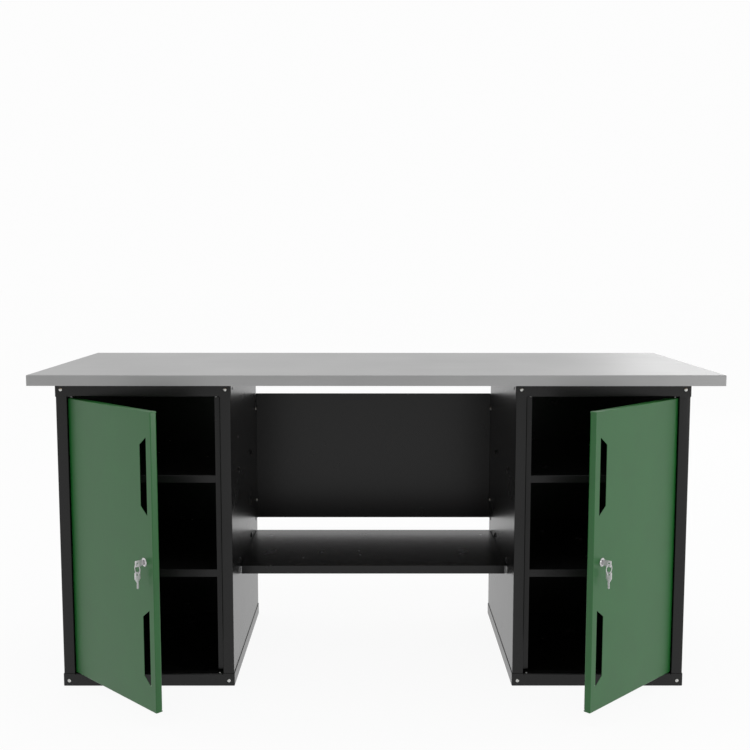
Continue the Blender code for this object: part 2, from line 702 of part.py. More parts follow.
def cam_outline():
    """Tapered bar with round ends, hanging down from the lock's axis."""
    tip = CAM_REACH - CAM_TIP_RADIUS
    return (arc((0, 0), CAM_ROOT_RADIUS, 180, 360, 8) + arc((0, tip), CAM_TIP_RADIUS, 0, 180, 8))


def key_outline():
    """Key in the plane of its blade, from its hole towards its tip along +x."""
    outer = -KEY_HOLE_FROM_END
    inner = outer + KEY_BOW_LENGTH
    half_bow = KEY_BOW_WIDTH / 2
    half_shoulder = KEY_SHOULDER_WIDTH / 2
    half_blade = KEY_BLADE_WIDTH / 2
    neck = inner + KEY_SHOULDER_TAPER
    shoulder = inner + KEY_SHOULDER_LENGTH
    tip = shoulder + KEY_BLADE_LENGTH
    corner = KEY_BOW_CORNER
    outline = arc((outer + corner, half_bow - corner), corner, 90, 180, 3)
    outline += arc((outer + corner, -half_bow + corner), corner, 180, 270, 3)
    outline += arc((inner - corner, -half_bow + corner), corner, 270, 360, 3)
    outline += [(neck, -half_shoulder), (shoulder, -half_shoulder), (shoulder, -half_blade),
                (tip - half_blade, -half_blade), (tip, 0.0)]
    pitch = (KEY_BLADE_LENGTH - 2 * half_blade) / (KEY_BIT_COUNT + 1)
    outline.append((tip - half_blade, half_blade))
    for index in range(KEY_BIT_COUNT):
        bit = tip - half_blade - pitch * (index + 0.5)
        outline += [(bit, half_blade), (bit - pitch / 2, half_blade - KEY_BIT_DEPTH)]
    outline += [(shoulder + pitch, half_blade), (shoulder, half_blade),
                (shoulder, half_shoulder), (neck, half_shoulder)]
    outline += arc((inner - corner, half_bow - corner), corner, 0, 90, 3)
    return outline


def key_shape():
    """Key with its hole at the origin, its blade along +Z and its thickness along x."""
    shape = extruded(key_outline(), -KEY_THICKNESS / 2, KEY_THICKNESS / 2)
    return gathered([(shape, Matrix.Rotation(-math.pi / 2, 4, "Y"))])


def key_hole():
    """Cutter for the hole in a key's bow."""
    return drilled([(ORIGIN, (1, 0, 0))], KEY_HOLE_RADIUS, KEY_THICKNESS, FINE_STEPS)


def ring_shape():
    """Closed ring that hangs from its origin, in the plane y = 0."""
    shape = bmesh.new()
    angles = [2 * math.pi * index / WIRE_STEPS for index in range(WIRE_STEPS)]
    points = [shape.verts.new((0.0, RING_WIRE * math.cos(angle), RING_WIRE * math.sin(angle)))
              for angle in angles]
    edges = [shape.edges.new((points[index], points[(index + 1) % WIRE_STEPS]))
             for index in range(WIRE_STEPS)]
    bmesh.ops.spin(shape, geom=points + edges, cent=(0.0, 0.0, -RING_RADIUS), axis=(0.0, 1.0, 0.0),
                   angle=2 * math.pi, steps=RING_STEPS, use_merge=True)
    bmesh.ops.remove_doubles(shape, verts=shape.verts, dist=1e-6)
    bmesh.ops.recalc_face_normals(shape, faces=shape.faces)
    return shape


def build_keys(side, lock, looks):
    """Key in the lock, the ring through its bow and the spare key that hangs from the ring."""
    key_place = (0.0, -KEY_HOLE_FROM_DOOR, 0.0)
    side.piece("key", key_shape(), looks["nickel"], lock, place=key_place, turn=INTO_DOOR,
               cuts=key_hole())
    ring_place = (0.0, -KEY_HOLE_FROM_DOOR, -RING_DROP)
    smooth(side.piece("key_ring", ring_shape(), looks["nickel"], lock, place=ring_place))
    ring_foot = (0.0, -KEY_HOLE_FROM_DOOR, -RING_DROP - 2 * RING_RADIUS)
    spare_pivot = side.axis("spare_key_pivot", lock, ring_foot)
    hung = Matrix.Translation((0, 0, -RING_DROP))
    spare = gathered([(key_shape(), hung @ Matrix.Rotation(math.pi, 4, "X"))])
    side.piece("spare_key", spare, looks["nickel"], spare_pivot, cuts=gathered([(key_hole(), hung)]))


def build_door(side, cabinet, looks):
    """Everything that swings with one door."""
    door = side.axis("door_axis", cabinet, (HINGE_FROM_OUTER_FACE, HINGE_FROM_FRONT, DOOR_BOTTOM),
                     (0.0, 0.0, -DOOR_OPEN_ANGLE))
    build_door_panel(side, door, looks)
    smooth(side.piece("lower_door_bush", bush(), looks["nylon"], door))
    smooth(side.piece("upper_door_bush", upside_down(bush()), looks["nylon"], door,
                      place=(0.0, 0.0, DOOR_HEIGHT)))
    lock = side.axis("lock_axis", door, (LOCK_FROM_PIVOT, -HINGE_INSET, LOCK_HEIGHT - DOOR_BOTTOM))
    build_lock(side, lock, looks)
    build_keys(side, lock, looks)


# Worktop and the pieces between the cabinets

def in_both_cabinets(spots):
    """A cabinet's spots, placed in the bench's frame on the left and on the right."""
    placed = []
    for mirror in (1, -1):
        for (x, y, z), (along, back, up) in spots:
            bench_x = CABINETS_OFF_CENTRE - mirror * (HALF_SPAN - x)
            placed.append(((bench_x, y + CABINET_FRONT, z), (mirror * along, back, up)))
    return placed


def build_worktop(middle, looks):
    """Board core under a folded steel cover."""
    front = CABINET_FRONT - TOP_FRONT_OVERHANG
    underside = BENCH_HEIGHT - TOP_THICKNESS
    cover = upside_down(pan(TOP_WIDTH, TOP_DEPTH, TOP_THICKNESS))
    middle.piece("worktop_cover", cover, looks["galvanised"], place=(-TOP_WIDTH / 2, front, BENCH_HEIGHT),
                 sheet=SHEET)
    edge = SHEET + FIT
    core = block((-TOP_WIDTH / 2 + edge, front + edge, underside),
                 (TOP_WIDTH / 2 - edge, front + TOP_DEPTH - edge, BENCH_HEIGHT - edge))
    holes = drilled(in_both_cabinets(top_screw_spots()), SCREW_RADIUS + FIT, TOP_SCREW_LENGTH + FIT)
    middle.piece("worktop_core", core, looks["board"], rounding=INNER_BEND, cuts=holes)


def build_middle_shelf(middle, looks):
    """Shelf pan across the knee space, its front flange cut back at both ends."""
    width = KNEE_WIDTH + 2 * (WALL_INSET - FIT)
    bolts = [((x, y, -MIDDLE_BOLT_DROP), (1, 0, 0)) for x in (0.0, width)
             for y in (MIDDLE_BOLTS_FROM_SHELF_END, MIDDLE_SHELF_DEPTH - MIDDLE_BOLTS_FROM_SHELF_END)]
    bend = SHEET + INNER_BEND
    cuts = [(drilled(bolts, BOLT_RADIUS + FIT, HOLE_REACH, ROUND_STEPS), Matrix())]
    for low, high in ((-FIT, MIDDLE_SHELF_RELIEF), (width - MIDDLE_SHELF_RELIEF, width + FIT)):
        cuts.append((block((low, -FIT, -MIDDLE_SHELF_HEIGHT - FIT), (high, bend + FIT, -bend - FIT)),
                     Matrix()))
    place = (CABINETS_OFF_CENTRE - width / 2, CABINET_FRONT + MIDDLE_SHELF_FRONT, MIDDLE_SHELF_TOP)
    middle.piece("middle_shelf", upside_down(pan(width, MIDDLE_SHELF_DEPTH, MIDDLE_SHELF_HEIGHT)),
                 looks["black"], place=place, sheet=SHEET, cuts=gathered(cuts))


def build_back_panel(middle, looks):
    """Panel across the back of the knee space, its ends folded forward along the cabinets."""
    width = KNEE_WIDTH + 2 * (WALL_INSET - FIT)
    height = PANEL_TOP - PANEL_BOTTOM
    path = [(width, -PANEL_FLANGE), (width, 0.0), (0.0, 0.0), (0.0, -PANEL_FLANGE)]
    screws = [((x, -PANEL_SCREW_INSET, z - PANEL_BOTTOM), (1, 0, 0))
              for x in (0.0, width) for z in PANEL_SCREW_HEIGHTS]
    place = (CABINETS_OFF_CENTRE - width / 2, CABINET_FRONT + CABINET_DEPTH - WALL_INSET, PANEL_BOTTOM)
    middle.piece("back_panel", folded_strip(path, 0.0, height), looks["black"], place=place,
                 sheet=SHEET, cuts=drilled(screws, SCREW_RADIUS + FIT, HOLE_REACH))


def main():
    """Build the whole bench."""
    clear_scene()
    looks = {
        "black": paint("black_paint", (0.022, 0.022, 0.022), 0.38, 0.0),
        "green": paint("green_paint", (0.075, 0.155, 0.082), 0.45, 0.0),
        "galvanised": paint("galvanised_sheet", (0.50, 0.50, 0.50), 0.42, 0.85),
        "board": paint("particle_board", (0.50, 0.36, 0.22), 0.85, 0.0),
        "black_zinc": paint("black_zinc_plate", (0.03, 0.03, 0.03), 0.35, 0.8),
        "zinc": paint("zinc_plate", (0.62, 0.62, 0.60), 0.35, 1.0),
        "steel": paint("bare_steel", (0.55, 0.55, 0.55), 0.32, 1.0),
        "chrome": paint("chrome_plate", (0.75, 0.74, 0.75), 0.18, 1.0),
        "nickel": paint("nickel_plate", (0.66, 0.64, 0.65), 0.30, 1.0),
        "nylon": paint("black_nylon", (0.03, 0.03, 0.03), 0.55, 0.0),
    }
    middle = Side("", 1)
    for side in (Side("left", 1), Side("right", -1)):
        cabinet = side.axis("cabinet")
        cabinet.location = (CABINETS_OFF_CENTRE - side.mirror * HALF_SPAN, CABINET_FRONT, 0.0)
        build_cabinet(side, cabinet, looks)
        build_door(side, cabinet, looks)
    build_worktop(middle, looks)
    build_middle_shelf(middle, looks)
    build_back_panel(middle, looks)


main()
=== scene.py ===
"""Looks of the double pedestal workbench, with its locks, keys and small fasteners.

Metres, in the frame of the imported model: +Z up, front towards -Y, floor at z = 0. Lengths along the
bench follow from the boxes of its nodes.
"""

import json
import math

import bmesh
import bpy
from mathutils import Matrix, Vector


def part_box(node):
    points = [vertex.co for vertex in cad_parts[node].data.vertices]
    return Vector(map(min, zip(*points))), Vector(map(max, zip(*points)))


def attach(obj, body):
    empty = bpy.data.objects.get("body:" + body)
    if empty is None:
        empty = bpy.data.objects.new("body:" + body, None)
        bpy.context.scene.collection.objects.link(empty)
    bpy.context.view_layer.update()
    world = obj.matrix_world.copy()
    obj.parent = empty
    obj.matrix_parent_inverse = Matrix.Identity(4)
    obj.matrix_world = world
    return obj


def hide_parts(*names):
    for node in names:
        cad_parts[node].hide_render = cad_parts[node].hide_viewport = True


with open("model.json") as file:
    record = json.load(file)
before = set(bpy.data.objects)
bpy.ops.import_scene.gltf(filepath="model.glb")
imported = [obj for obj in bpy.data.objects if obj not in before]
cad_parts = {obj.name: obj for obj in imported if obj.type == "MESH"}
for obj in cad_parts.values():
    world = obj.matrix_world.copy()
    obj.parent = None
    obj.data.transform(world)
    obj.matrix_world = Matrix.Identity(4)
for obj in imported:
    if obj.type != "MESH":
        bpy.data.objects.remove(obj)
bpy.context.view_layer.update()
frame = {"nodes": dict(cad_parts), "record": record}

# Camera, from the photograph's perspective
CAMERA_DISTANCE = 2.7113
CAMERA_HEIGHT = 1.1265
CAMERA_PITCH = math.radians(5.93)
CAMERA_YAW = math.radians(-0.089)
CAMERA_ROLL = math.radians(-0.029)
LENS = 49.98
SENSOR_WIDTH = 36.0

# Studio: the world as seen and as light, its share of light from the front, and the floor
BACKGROUND = 0.98
DOME_LIGHT = 0.80
FRONT_SHADE = 0.60
FLOOR_REACH = 40.0
FLOOR_COLOUR = (0.95, 0.95, 0.95)
FLOOR_GLOW = 0.93

# Linear colours
BLACK = (0.0075, 0.0075, 0.0075)
GREEN = (0.010, 0.117, 0.020)
GALVANISED = (0.350, 0.350, 0.350)
BOARD = (0.42, 0.29, 0.16)
BLACK_ZINC = (0.04, 0.04, 0.04)
ZINC = (0.62, 0.62, 0.60)
STEEL = (0.40, 0.40, 0.40)
CHROME = (0.62, 0.61, 0.62)
NICKEL = (0.66, 0.65, 0.66)

# The range that a noise pattern mostly keeps to
NOISE_LOW = 0.3
NOISE_HIGH = 0.7

# Pressed chips in a metre of board
CHIPS = 260.0

# Points closer than this are one, and edges under these angles are shaded smooth
WELD_DISTANCE = 1e-6
SMOOTH_NODES = math.radians(50)
SMOOTH_PIECES = math.radians(40)

# Sheet metal, the play between pieces and the gap under a fastener's head
SHEET = 0.0012
FIT = 0.0003
SEAT = 0.0001

# Places of the small fasteners: insets from a cabinet's nearest faces, heights from the floor
FRAME_SCREW_INSET = 0.0155
CAP_SCREW_INSET = 0.030
TOP_SCREW_INSET = 0.070
PANEL_SCREW_HEIGHTS = (0.384, 0.678)
PANEL_SCREW_FROM_BACK = 0.0275
MIDDLE_BOLTS_FROM_SHELF_END = 0.060
MIDDLE_BOLT_DROP = 0.0125
RIVET_INSET = 0.041
RIVET_FROM_FRONT = 0.0087

# Head radius, head height, shank radius and shank length of each screw, bolt and rivet
FRAME_SCREW = (0.0046, 0.0024, 0.0017, 0.006)
CAP_SCREW = (0.0040, 0.0010, 0.0017, 0.006)
TOP_SCREW = (0.0045, 0.0024, 0.0017, 0.014)
PANEL_SCREW = (0.0042, 0.0028, 0.0017, 0.006)
MIDDLE_BOLT = (0.0075, 0.0036, 0.0027, 0.010)
PIVOT_RIVET = (0.0038, 0.0016, 0.0022, 0.003)

# Size across flats, height and radius of the bore
MIDDLE_NUT = (0.010, 0.005, 0.0029)

# Domed head: the steps of its crown, and the rim's share of its height
HEAD_STEPS = 6
HEAD_RIM = 0.3

# Cross recess: arm and half width in head radii, and the height of its floor in head heights
CROSS_ARM = 0.56
CROSS_HALF_WIDTH = 0.13
CROSS_FLOOR = 0.35

# Nut: chamfer in nut heights, and radius of its flat face in corner radii
NUT_CHAMFER = 0.15
NUT_FACE = 0.9

# Lock and keys
ROSETTE_RADIUS = 0.011
ROSETTE_HEIGHT = 0.0026
ROSETTE_FLAT_RADIUS = 0.0078
ROSETTE_BRIM = 0.0005
ROSETTE_LIP = 0.0004
BARREL_RADIUS = 0.009
BARREL_LENGTH = 0.018
BORE_RADIUS = 0.0063
KEY_THICKNESS = 0.0018
KEY_EDGE = 0.0002
KEY_BOW_WIDTH = 0.016
KEY_BOW_LENGTH = 0.0192
KEY_BOW_CORNER = 0.002
KEY_HOLE_RADIUS = 0.0028
KEY_HOLE_STEPS = 24
KEY_HOLE_FROM_END = 0.006
KEY_SHOULDER_WIDTH = 0.0110
KEY_SHOULDER_LENGTH = 0.0033
KEY_SHOULDER_TAPER = 0.0008
KEY_BLADE_WIDTH = 0.0056
KEY_BLADE_LENGTH = 0.0205
KEY_BIT_DEPTH = 0.0012
KEY_BIT_COUNT = 4
KEY_RELIEF = 0.0003

# Where the first bit starts, and the ends of a bit's slope and floor behind its start, in pitches
BIT_START = 0.4
BIT_SLOPE_END = 0.3
BIT_FLOOR_END = 0.5

# Sunk field of the bow: start in hole radii, end as a share of the way from the hole to the
# shoulder, and half width in bow widths
FIELD_START = 1.7
FIELD_END = 0.85
FIELD_HALF_WIDTH = 0.32

# Groove of the blade: its two sides in blade widths and its reach in blade lengths
GROOVE_LOW = -0.2
GROOVE_HIGH = 0.05
GROOVE_REACH = 0.9

# Key ring: turns of wire, steps in a turn, sides of the wire, height of one turn over the last, and
# the wire's half width and half height in heights of a turn
RING_TURNS = 2
RING_STEPS = 72
RING_SIDES = 10
RING_COIL = 0.00086
WIRE_HALF_WIDTH = 1.2
WIRE_HALF_HEIGHT = 0.49

# Where the cabinets are
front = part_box("left_base_tray")[0].y
pair_centre = (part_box("left_base_tray")[0].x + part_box("right_base_tray")[1].x) / 2


# Camera

def aim(obj, target):
    """Turn a lamp or camera's -Z towards a point."""
    obj.rotation_euler = (Vector(target) - obj.location).to_track_quat("-Z", "Y").to_euler()


def make_camera():
    """Camera at the photograph's place."""
    data = bpy.data.cameras.new("camera")
    data.lens = LENS
    data.sensor_width = SENSOR_WIDTH
    camera = bpy.data.objects.new("camera", data)
    camera.location = (pair_centre, front - CAMERA_DISTANCE, CAMERA_HEIGHT)
    camera.rotation_euler = (math.pi / 2 - CAMERA_PITCH, CAMERA_ROLL, CAMERA_YAW)
    bpy.context.scene.collection.objects.link(camera)
    bpy.context.scene.camera = camera


# Node helpers

def seen_directly(tree):
    """Socket that is 1 for camera, glossy and transmission rays and 0 for light on things."""
    path = tree.nodes.new("ShaderNodeLightPath")
    total = path.outputs["Is Camera Ray"]
    for name in ("Is Glossy Ray", "Is Transmission Ray"):
        larger = tree.nodes.new("ShaderNodeMath")
        larger.operation = "MAXIMUM"
        tree.links.new(total, larger.inputs[0])
        tree.links.new(path.outputs[name], larger.inputs[1])
        total = larger.outputs[0]
    return total


def new_look(name, colour, roughness, metallic=0.0):
    """Principled material and its shader."""
    look = bpy.data.materials.new(name)
    look.use_nodes = True
    shader = look.node_tree.nodes["Principled BSDF"]
    shader.inputs["Base Color"].default_value = (*colour, 1.0)
    shader.inputs["Roughness"].default_value = roughness
    shader.inputs["Metallic"].default_value = metallic
    return look, shader


def noise(tree, scale, detail=2.0, stretch=(1.0, 1.0, 1.0)):
    """Noise over the object's own coordinates, in features per metre."""
    place = tree.nodes.new("ShaderNodeTexCoord")
    mapping = tree.nodes.new("ShaderNodeMapping")
    mapping.inputs["Scale"].default_value = stretch
    pattern = tree.nodes.new("ShaderNodeTexNoise")
    pattern.inputs["Scale"].default_value = scale
    pattern.inputs["Detail"].default_value = detail
    tree.links.new(place.outputs["Object"], mapping.inputs["Vector"])
    tree.links.new(mapping.outputs["Vector"], pattern.inputs["Vector"])
    return pattern.outputs["Fac"]


def remapped(tree, value, low, high, start=NOISE_LOW, end=NOISE_HIGH):
    """A value between start and end, spread from low to high."""
    spread = tree.nodes.new("ShaderNodeMapRange")
    spread.inputs["From Min"].default_value = start
    spread.inputs["From Max"].default_value = end
    spread.inputs["To Min"].default_value = low
    spread.inputs["To Max"].default_value = high
    tree.links.new(value, spread.inputs["Value"])
    return spread.outputs["Result"]


def shaded(tree, colour, value, low, high):
    """A colour scaled between low and high by a value."""
    ramp = tree.nodes.new("ShaderNodeValToRGB")
    for stop, scale, at in zip(ramp.color_ramp.elements, (low, high), (NOISE_LOW, NOISE_HIGH)):
        stop.position = at
        stop.color = (*(part * scale for part in colour), 1.0)
    tree.links.new(value, ramp.inputs["Fac"])
    return ramp.outputs["Color"]


def add_bump(tree, shader, height, distance):
    """Bump the shader's surface by a height pattern."""
    bump = tree.nodes.new("ShaderNodeBump")
    bump.inputs["Distance"].default_value = distance
    tree.links.new(height, bump.inputs["Height"])
    tree.links.new(bump.outputs["Normal"], shader.inputs["Normal"])


# Materials

def powder_coat(name, colour, roughness, ior):
    """Satin powder coat with a fine orange peel and faint clouds."""
    look, shader = new_look(name, colour, roughness)
    shader.inputs["IOR"].default_value = ior
    tree = look.node_tree
    clouds = noise(tree, scale=14.0, detail=3.0)
    tree.links.new(shaded(tree, colour, clouds, low=0.95, high=1.05), shader.inputs["Base Color"])
    uneven = remapped(tree, clouds, low=roughness - 0.004, high=roughness + 0.004)
    tree.links.new(uneven, shader.inputs["Roughness"])
    add_bump(tree, shader, noise(tree, scale=420.0), distance=0.000006)
    return look


def galvanised_sheet():
    """Cloudy zinc sheet with faint rolling lines."""
    look, shader = new_look("galvanised_sheet", GALVANISED, roughness=0.42, metallic=0.85)
    tree = look.node_tree
    clouds = noise(tree, scale=3.6, detail=3.0, stretch=(1.0, 0.6, 2.0))
    cloudy = shaded(tree, GALVANISED, clouds, low=0.94, high=1.06)
    tree.links.new(cloudy, shader.inputs["Base Color"])
    rolled = noise(tree, scale=60.0, detail=3.0, stretch=(0.03, 1.0, 1.0))
    tree.links.new(remapped(tree, rolled, low=0.405, high=0.435), shader.inputs["Roughness"])
    add_bump(tree, shader, rolled, distance=0.000006)
    return look


def particle_board():
    """Raw board with pressed chips."""
    look, shader = new_look("particle_board", BOARD, roughness=0.85)
    tree = look.node_tree
    chips = tree.nodes.new("ShaderNodeTexVoronoi")
    chips.inputs["Scale"].default_value = CHIPS
    place = tree.nodes.new("ShaderNodeTexCoord")
    tree.links.new(place.outputs["Object"], chips.inputs["Vector"])
    depth = chips.outputs["Distance"]
    tree.links.new(shaded(tree, BOARD, depth, low=0.7, high=1.15), shader.inputs["Base Color"])
    add_bump(tree, shader, depth, distance=0.0001)
    return look


def metal(name, colour, roughness, metallic=1.0):
    """Plated or plain metal with faint handling marks."""
    look, shader = new_look(name, colour, roughness, metallic)
    tree = look.node_tree
    marks = noise(tree, scale=260.0, detail=4.0)
    tree.links.new(shaded(tree, colour, marks, low=0.92, high=1.04), shader.inputs["Base Color"])
    uneven = remapped(tree, marks, low=roughness - 0.05, high=roughness + 0.07)
    tree.links.new(uneven, shader.inputs["Roughness"])
    return look


def nylon():
    """Matt black nylon of the bushes."""
    look, shader = new_look("black_nylon", BLACK, roughness=0.55)
    add_bump(look.node_tree, shader, noise(look.node_tree, scale=700.0), distance=0.00004)
    return look


LOOKS = {
    "black_paint": powder_coat("black_paint", BLACK, roughness=0.27, ior=1.38),
    "green_paint": powder_coat("green_paint", GREEN, roughness=0.32, ior=1.5),
    "galvanised_sheet": galvanised_sheet(),
    "particle_board": particle_board(),
    "black_zinc_plate": metal("black_zinc_plate", BLACK_ZINC, roughness=0.35),
    "zinc_plate": metal("zinc_plate", ZINC, roughness=0.32),
    "bare_steel": metal("bare_steel", STEEL, roughness=0.34),
    "chrome_plate": metal("chrome_plate", CHROME, roughness=0.18),
    "nickel_plate": metal("nickel_plate", NICKEL, roughness=0.42, metallic=0.6),
    "black_nylon": nylon(),
}


# Shading of the model's own nodes

def rounded_shading():
    """Node group that drops stored normals, smooths gentle edges and keeps the others sharp."""
    group = bpy.data.node_groups.new("rounded_shading", "GeometryNodeTree")
    group.interface.new_socket("Geometry", in_out="INPUT", socket_type="NodeSocketGeometry")
    group.interface.new_socket("Geometry", in_out="OUTPUT", socket_type="NodeSocketGeometry")
    entry = group.nodes.new("NodeGroupInput")
    result = group.nodes.new("NodeGroupOutput")
    given = group.nodes.new("GeometryNodeRemoveAttribute")
    given.inputs["Name"].default_value = "custom_normal"
    faces = group.nodes.new("GeometryNodeSetShadeSmooth")
    faces.domain = "FACE"
    edges = group.nodes.new("GeometryNodeSetShadeSmooth")
    edges.domain = "EDGE"
    angle = group.nodes.new("GeometryNodeInputMeshEdgeAngle")
    gentle = group.nodes.new("FunctionNodeCompare")
    gentle.operation = "LESS_THAN"
    gentle.inputs["B"].default_value = SMOOTH_NODES
    group.links.new(entry.outputs[0], given.inputs["Geometry"])
    group.links.new(given.outputs["Geometry"], faces.inputs["Geometry"])
    group.links.new(faces.outputs["Geometry"], edges.inputs["Geometry"])
    group.links.new(angle.outputs["Unsigned Angle"], gentle.inputs["A"])
    group.links.new(gentle.outputs["Result"], edges.inputs["Shade Smooth"])
    group.links.new(edges.outputs["Geometry"], result.inputs[0])
    return group


def dress_nodes():
    """Give every node of the model its slot's material, with bends and rounds shaded smooth."""
    rounding = rounded_shading()
    for part in frame["record"]["subparts"]:
        node = frame["nodes"][part["node"]]
        node.data.materials.clear()
        node.data.materials.append(LOOKS[part["material_slot"]])
        weld = node.modifiers.new("weld", "WELD")
        weld.merge_threshold = WELD_DISTANCE
        node.modifiers.new("rounding", "NODES").node_group = rounding
        weights = node.modifiers.new("flat_faces", "WEIGHTED_NORMAL")
        weights.keep_sharp = True


# Shapes of the added pieces

def lathe(profile, steps=32, closed=False):
    """Solid of revolution about +Z from (radius, height) points."""
    shape = bmesh.new()
    points = [shape.verts.new((radius, 0.0, height)) for radius, height in profile]
    edges = [shape.edges.new(pair) for pair in zip(points, points[1:])]
    if closed:
        edges.append(shape.edges.new((points[-1], points[0])))
    bmesh.ops.spin(shape, geom=points + edges, cent=(0.0, 0.0, 0.0), axis=(0.0, 0.0, 1.0),
                   angle=2 * math.pi, steps=steps, use_merge=True)
    bmesh.ops.remove_doubles(shape, verts=shape.verts, dist=WELD_DISTANCE)
    bmesh.ops.recalc_face_normals(shape, faces=shape.faces)
    return shape


def prism(outline, low, high):
    """Solid of an outline between two heights."""
    shape = bmesh.new()
    face = shape.faces.new([shape.verts.new((x, y, low)) for x, y in outline])
    raised = bmesh.ops.extrude_face_region(shape, geom=[face])["geom"]
    top = [item for item in raised if isinstance(item, bmesh.types.BMVert)]
    bmesh.ops.translate(shape, verts=top, vec=(0.0, 0.0, high - low))
    bmesh.ops.recalc_face_normals(shape, faces=shape.faces)
    return shape


def add_block(shape, low, high):
    """Add a box between two corners to a shape."""
    size = Vector(high) - Vector(low)
    middle = (Vector(high) + Vector(low)) / 2
    bmesh.ops.create_cube(shape, size=1.0, matrix=Matrix.LocRotScale(middle, None, size))


def arc(centre, radius, start, end, steps=6):
    """Points of an arc between two angles in degrees."""
    angles = [math.radians(start + (end - start) * index / steps) for index in range(steps + 1)]
    return [(centre[0] + radius * math.cos(angle), centre[1] + radius * math.sin(angle))
            for angle in angles]


def as_mesh(name, shape):
    """Mesh from a shape, which it uses up, with its gentle edges shaded smooth."""
    mesh = bpy.data.meshes.new(name)
    shape.to_mesh(mesh)
    shape.free()
    mesh.shade_smooth()
    mesh.set_sharp_from_angle(angle=SMOOTH_PIECES)
    return mesh


def evaluated_mesh(obj):
    """Mesh of an object as its modifiers leave it."""
    graph = bpy.context.evaluated_depsgraph_get()
    return bpy.data.meshes.new_from_object(obj.evaluated_get(graph))


def combined(name, shape, tool_shape, operation="DIFFERENCE"):
    """Mesh of a shape less another one, or of what both share."""
    whole = bpy.data.objects.new(name, as_mesh(name, shape))
    tool = bpy.data.objects.new(name + "_tool", as_mesh(name + "_tool", tool_shape))
    for obj in (whole, tool):
        bpy.context.scene.collection.objects.link(obj)
    cut = whole.modifiers.new("cut", "BOOLEAN")
    cut.operation = operation
    cut.solver = "EXACT"
    cut.object = tool
    mesh = evaluated_mesh(whole)
    mesh.name = name
    for obj in (whole, tool):
        bpy.data.objects.remove(obj, do_unlink=True)
    mesh.set_sharp_from_angle(angle=SMOOTH_PIECES)
    return mesh


def dome(radius, height, shank_radius, shank_length):
    """Domed head above z = 0 on a shank below it."""
    rim = HEAD_RIM * height
    crown = (1 - HEAD_RIM) * height
    angles = [math.pi / 2 * step / HEAD_STEPS for step in range(HEAD_STEPS + 1)]
    profile = [(radius * math.sin(angle), rim + crown * math.cos(angle)) for angle in angles]
    profile += [(radius, 0.0), (shank_radius, 0.0), (shank_radius, -shank_length),
                (0.0, -shank_length)]
    return lathe(profile)


def screw_mesh(name, radius, height, shank_radius, shank_length):
    """Pan head screw with a cross recess."""
    arm, slot = CROSS_ARM * radius, CROSS_HALF_WIDTH * radius
    cross = [(arm, slot), (slot, slot), (slot, arm), (-slot, arm), (-slot, slot), (-arm, slot),
             (-arm, -slot), (-slot, -slot), (-slot, -arm), (slot, -arm), (slot, -slot),
             (arm, -slot)]
    return combined(name, dome(radius, height, shank_radius, shank_length),
                    prism(cross, CROSS_FLOOR * height, 2 * height))


def nut_mesh(name, across, height, bore):
    """Hexagon nut with chamfered corners and a bore."""
    corner = across / math.sqrt(3)
    face = NUT_FACE * corner
    chamfer = NUT_CHAMFER * height
    disc = lathe([(corner, chamfer), (face, 0.0), (bore, 0.0), (bore, height), (face, height),
                  (corner, height - chamfer)], steps=48, closed=True)
    hexagon = arc((0.0, 0.0), corner, 0, 300, steps=5)
    return combined(name, disc, prism(hexagon, -height, 2 * height), "INTERSECT")


def add_piece(name, mesh, slot, body, matrix):
    """Show a mesh at a place, in a slot's material, riding on a body."""
    piece = bpy.data.objects.new(name, mesh)
    if not mesh.materials:
        mesh.materials.append(LOOKS[slot])
    piece.matrix_world = matrix
    bpy.context.scene.collection.objects.link(piece)
    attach(piece, body)
    return piece


# Small screws, bolts and rivets

def fasten(kind, mesh, slot, spots):
    """Put a fastener at the same spots of both cabinets, the right one mirrored.

    A spot is the place under the head and the way that the head points, both counted in from the
    cabinet's outer face, back from its front and up.
    """
    for side, mirror in (("left", 1), ("right", -1)):
        low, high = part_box(side + "_base_tray")
        outer = low.x if side == "left" else high.x
        for count, ((inward, back, up), (along, rear, rise)) in enumerate(spots, 1):
            place = Matrix.Translation((outer + mirror * inward, front + back, up))
            turn = Vector((mirror * along, rear, rise)).to_track_quat("Z", "Y").to_matrix().to_4x4()
            add_piece(f"{side}_{kind}_{count}", mesh, slot, "bench", place @ turn)


def place_shell_screws():
    """Screws of the cabinets' front corners, of the caps' sides, and up into the worktop."""
    low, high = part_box("left_base_tray")
    width, depth = high.x - low.x, high.y - low.y
    cap_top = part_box("left_top_cap")[1].z
    upper_row = cap_top - FRAME_SCREW_INSET
    fasten("frame_screw", screw_mesh("frame_screw", *FRAME_SCREW), "zinc_plate",
           [((x, -SEAT, z), (0, -1, 0)) for x in (FRAME_SCREW_INSET, width - FRAME_SCREW_INSET)
            for z in (FRAME_SCREW_INSET, upper_row)])
    fasten("cap_screw", screw_mesh("cap_screw", *CAP_SCREW), "black_zinc_plate",
           [((x, y, upper_row), (away, 0, 0)) for x, away in ((-SEAT, -1), (width + SEAT, 1))
            for y in (CAP_SCREW_INSET, depth - CAP_SCREW_INSET)])
    fasten("top_screw", screw_mesh("top_screw", *TOP_SCREW), "black_zinc_plate",
           [((x, y, cap_top - SHEET - SEAT), (0, 0, -1))
            for x in (TOP_SCREW_INSET, width - TOP_SCREW_INSET)
            for y in (TOP_SCREW_INSET, depth - TOP_SCREW_INSET)])


